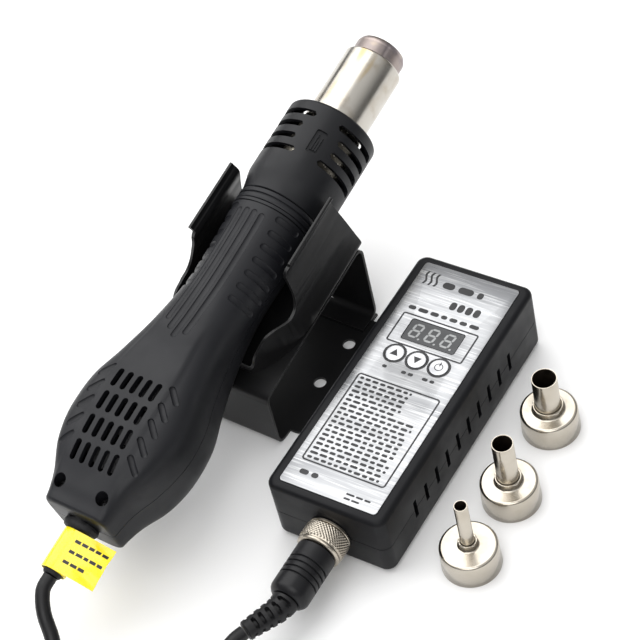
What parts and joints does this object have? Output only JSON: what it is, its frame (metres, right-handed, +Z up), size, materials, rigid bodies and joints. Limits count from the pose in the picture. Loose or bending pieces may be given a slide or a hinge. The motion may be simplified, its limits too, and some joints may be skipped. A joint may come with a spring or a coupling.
{
  "type": "hot air rework station",
  "caption": "Slim hot air rework station: control unit with display and buttons, blower handle in a bent-steel holder, cable, and loose round nozzles.",
  "frame": {"origin": "middle of the underside of the box round everything but the free cable and its plug, on the bench", "axes": "+Z up; +Y along the control unit from its cable plug towards its mains gland, and the way the handle's hot end points; +X across, from the handle towards the nozzles"},
  "size_m": [0.1785, 0.3726, 0.0947],
  "materials": {
    "case_plastic": "fine spark texture",
    "label_metal": "brushed along the case",
    "display_lens": "smoked",
    "display_body": "matte",
    "button_cap": "silver",
    "circuit_board": "solder mask",
    "bare_aluminium": "plain",
    "capacitor_sleeve": "shrink sleeve",
    "foot_rubber": "matte",
    "screw_steel": "zinc plated",
    "connector_metal": "nickel plated",
    "gland_rubber": "matte",
    "plug_plastic": "moulded",
    "relief_rubber": "moulded",
    "grip_plastic": "fine texture",
    "guard_plastic": "fine texture",
    "heater_steel": "bright drawn",
    "spigot_steel": "heat tinted",
    "mica": "layered",
    "heater_ceramic": "fired ceramic",
    "heater_wire": "resistance wire",
    "blower_plastic": "moulded",
    "motor_steel": "plated",
    "cable_jacket": "satin",
    "tag_film": "laminated film",
    "holder_paint": "satin black",
    "magnet": "nickel plated",
    "nozzle_steel": "drawn stainless"
  },
  "bodies": {
    "station_base": {"upper_case": "case_plastic", "lower_case": "case_plastic", "front_label": "label_metal", "display_window": "display_lens", "led_display": "display_body", "control_board": "circuit_board", "power_board": "circuit_board", "heatsink": "bare_aluminium", "filter_capacitor": "capacitor_sleeve", "panel_socket": "connector_metal", "socket_nut": "connector_metal", "mains_gland": "gland_rubber", "plug_body": "plug_plastic", "plug_strain_relief": "relief_rubber", "holder_bracket": "holder_paint", "holder_cradle": "holder_paint", "cradle_screw_1": "screw_steel", "cradle_nut_1": "screw_steel", "cradle_screw_2": "screw_steel", "cradle_nut_2": "screw_steel", "holder_magnet": "magnet", "cable_handle_side": "cable_jacket", "cable_coil": "cable_jacket", "cable_plug_side": "cable_jacket", "rubber_foot_1": "foot_rubber", "case_screw_1": "screw_steel", "rubber_foot_2": "foot_rubber", "case_screw_2": "screw_steel", "rubber_foot_3": "foot_rubber", "case_screw_3": "screw_steel", "rubber_foot_4": "foot_rubber", "case_screw_4": "screw_steel"},
    "button_up_body": {"button_up": "button_cap"},
    "button_down_body": {"button_down": "button_cap"},
    "button_setup_body": {"button_setup": "button_cap"},
    "coupling_nut_body": {"coupling_nut": "connector_metal"},
    "handle": {"grip_upper_shell": "grip_plastic", "grip_lower_shell": "grip_plastic", "grip_screw_1": "screw_steel", "grip_screw_2": "screw_steel", "neck_ring": "guard_plastic", "heater_guard": "guard_plastic", "heater_tube": "heater_steel", "nozzle_spigot": "spigot_steel", "mica_sleeve": "mica", "heater_core": "heater_ceramic", "heating_coil": "heater_wire", "blower_housing": "blower_plastic", "blower_motor": "motor_steel", "handle_board": "circuit_board", "cable_bush": "relief_rubber", "caution_tag": "tag_film"},
    "impeller": {"blower_impeller": "blower_plastic"},
    "nozzle_large": {"nozzle_large_cup": "nozzle_steel", "nozzle_large_tube": "nozzle_steel"},
    "nozzle_medium": {"nozzle_medium_cup": "nozzle_steel", "nozzle_medium_tube": "nozzle_steel"},
    "nozzle_small": {"nozzle_small_cup": "nozzle_steel", "nozzle_small_tube": "nozzle_steel"}
  },
  "joints": [
    {"name": "button_up_press", "type": "slide", "parent": "station_base", "child": "button_up_body", "axis": [0, 0, -1], "range_m": [0, 0.0005], "stiffness_N_per_m": 400, "springref_m": -0.0008},
    {"name": "button_down_press", "type": "slide", "parent": "station_base", "child": "button_down_body", "axis": [0, 0, -1], "range_m": [0, 0.0005], "stiffness_N_per_m": 400, "springref_m": -0.0008},
    {"name": "button_setup_press", "type": "slide", "parent": "station_base", "child": "button_setup_body", "axis": [0, 0, -1], "range_m": [0, 0.0005], "stiffness_N_per_m": 400, "springref_m": -0.0008},
    {"name": "coupling_nut_turn", "type": "hinge", "parent": "station_base", "child": "coupling_nut_body", "pos_m": [0.0252, -0.067, 0.016], "axis": [0, 1, 0], "continuous": true},
    {"name": "handle_lift_out", "type": "slide", "parent": "station_base", "child": "handle", "axis": [0, 0, 1], "range_m": [0, 0.06]},
    {"name": "impeller_spin", "type": "hinge", "parent": "handle", "child": "impeller", "pos_m": [-0.0559, -0.06738, 0.04457], "axis": [-0.0083, -0.1906, 0.9816], "continuous": true},
    {"name": "nozzle_large_lift", "type": "slide", "parent": "station_base", "child": "nozzle_large", "axis": [0, 0, 1], "range_m": [0, 0.05]},
    {"name": "nozzle_medium_lift", "type": "slide", "parent": "station_base", "child": "nozzle_medium", "axis": [0, 0, 1], "range_m": [0, 0.05]},
    {"name": "nozzle_small_lift", "type": "slide", "parent": "station_base", "child": "nozzle_small", "axis": [0, 0, 1], "range_m": [0, 0.05]}
  ]
}
